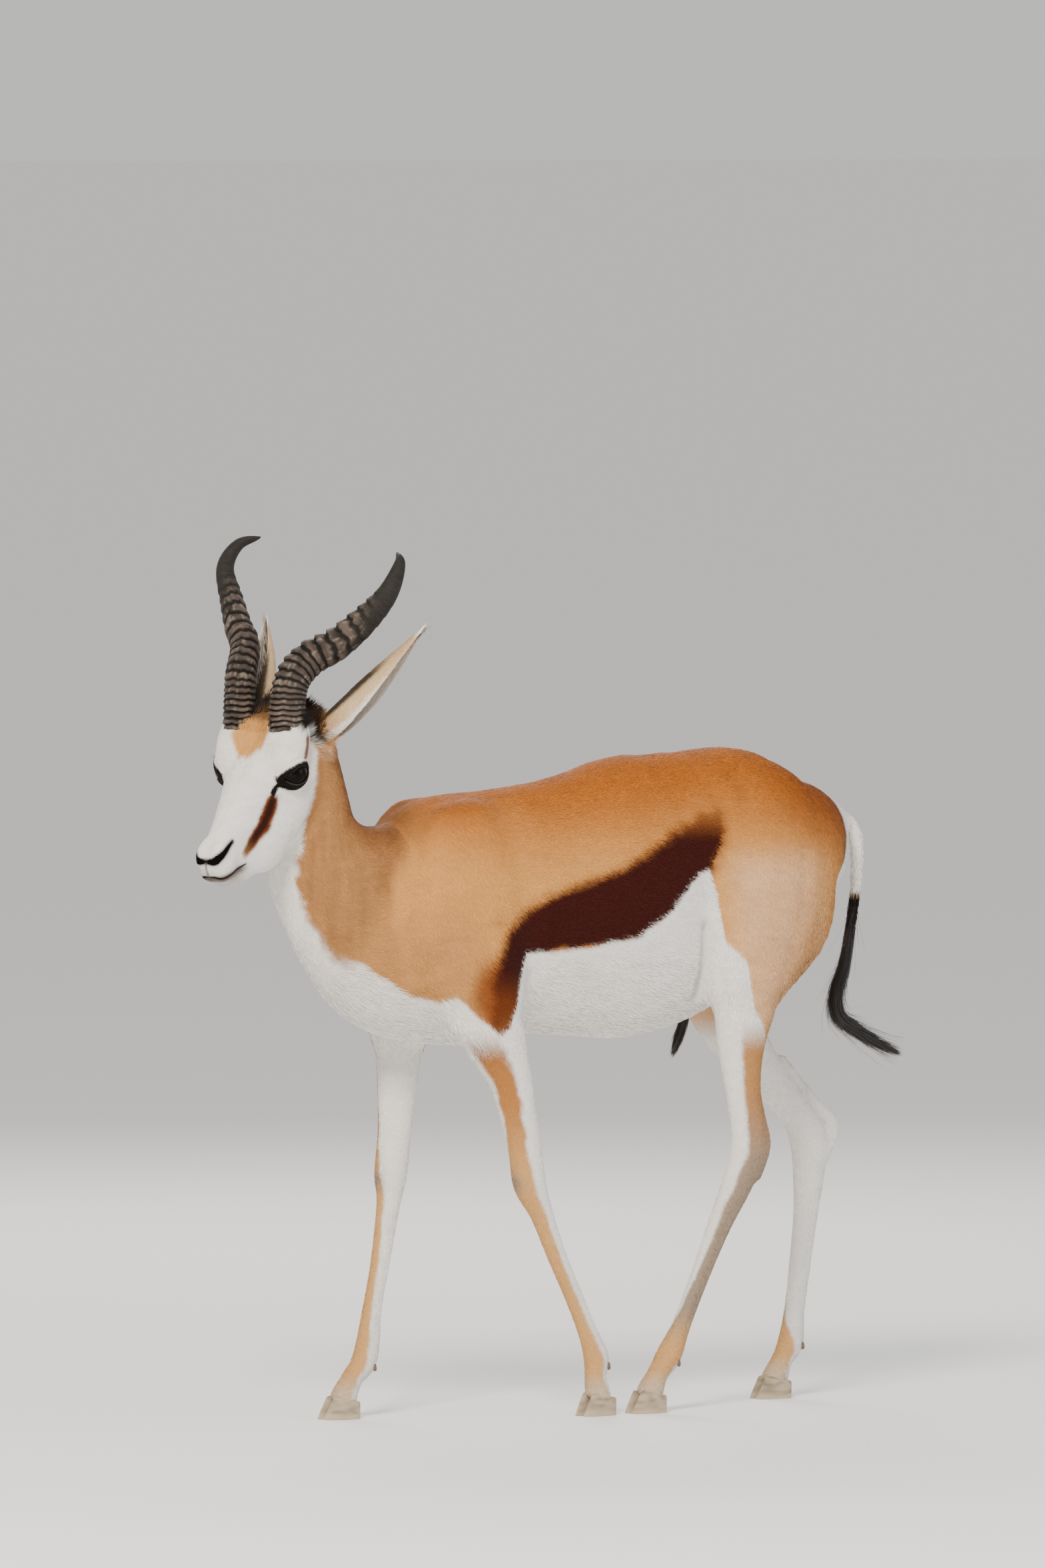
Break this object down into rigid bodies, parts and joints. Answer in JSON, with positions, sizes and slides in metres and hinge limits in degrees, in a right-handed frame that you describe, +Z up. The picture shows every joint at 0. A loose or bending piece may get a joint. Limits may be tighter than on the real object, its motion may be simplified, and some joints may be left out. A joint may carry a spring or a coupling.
{
  "type": "springbok ram in a slow walk",
  "caption": "Life-size still model of a springbok ram in a slow walk, head lowered and turned to its left, with ringed lyre-shaped horns, long ears and a tufted tail.",
  "frame": {"origin": "on the floor, under the middle of the whole animal's box", "axes": "+Z up; the body faces -X, so its left side is -Y; the head is turned towards -X and a little -Y"},
  "size_m": [1.0878, 0.2812, 1.1314],
  "materials": {
    "tan_coat": "short flat cinnamon-tan hair that lies along the body",
    "white_coat": "short white hair of the face, belly and inner legs",
    "dark_hair": "coarse black-brown hair in bending locks",
    "horn": "ringed grey-brown horn, darker and smooth at the tip",
    "hoof": "dusty pale horn of the hooves",
    "eye": "wet, almost black brown eye"
  },
  "bodies": {
    "root": {"torso": "tan_coat", "neck": "tan_coat", "head": "white_coat", "tail": "dark_hair", "sheath_tuft": "dark_hair", "leg_front_left": "white_coat", "hoof_front_left_left": "hoof", "hoof_front_left_right": "hoof", "leg_front_right": "white_coat", "hoof_front_right_left": "hoof", "hoof_front_right_right": "hoof", "leg_hind_left": "white_coat", "hoof_hind_left_left": "hoof", "hoof_hind_left_right": "hoof", "leg_hind_right": "white_coat", "hoof_hind_right_left": "hoof", "hoof_hind_right_right": "hoof", "horn_left": "horn", "ear_left": "tan_coat", "eye_left": "eye", "horn_right": "horn", "ear_right": "tan_coat", "eye_right": "eye"}
  },
  "joints": []
}
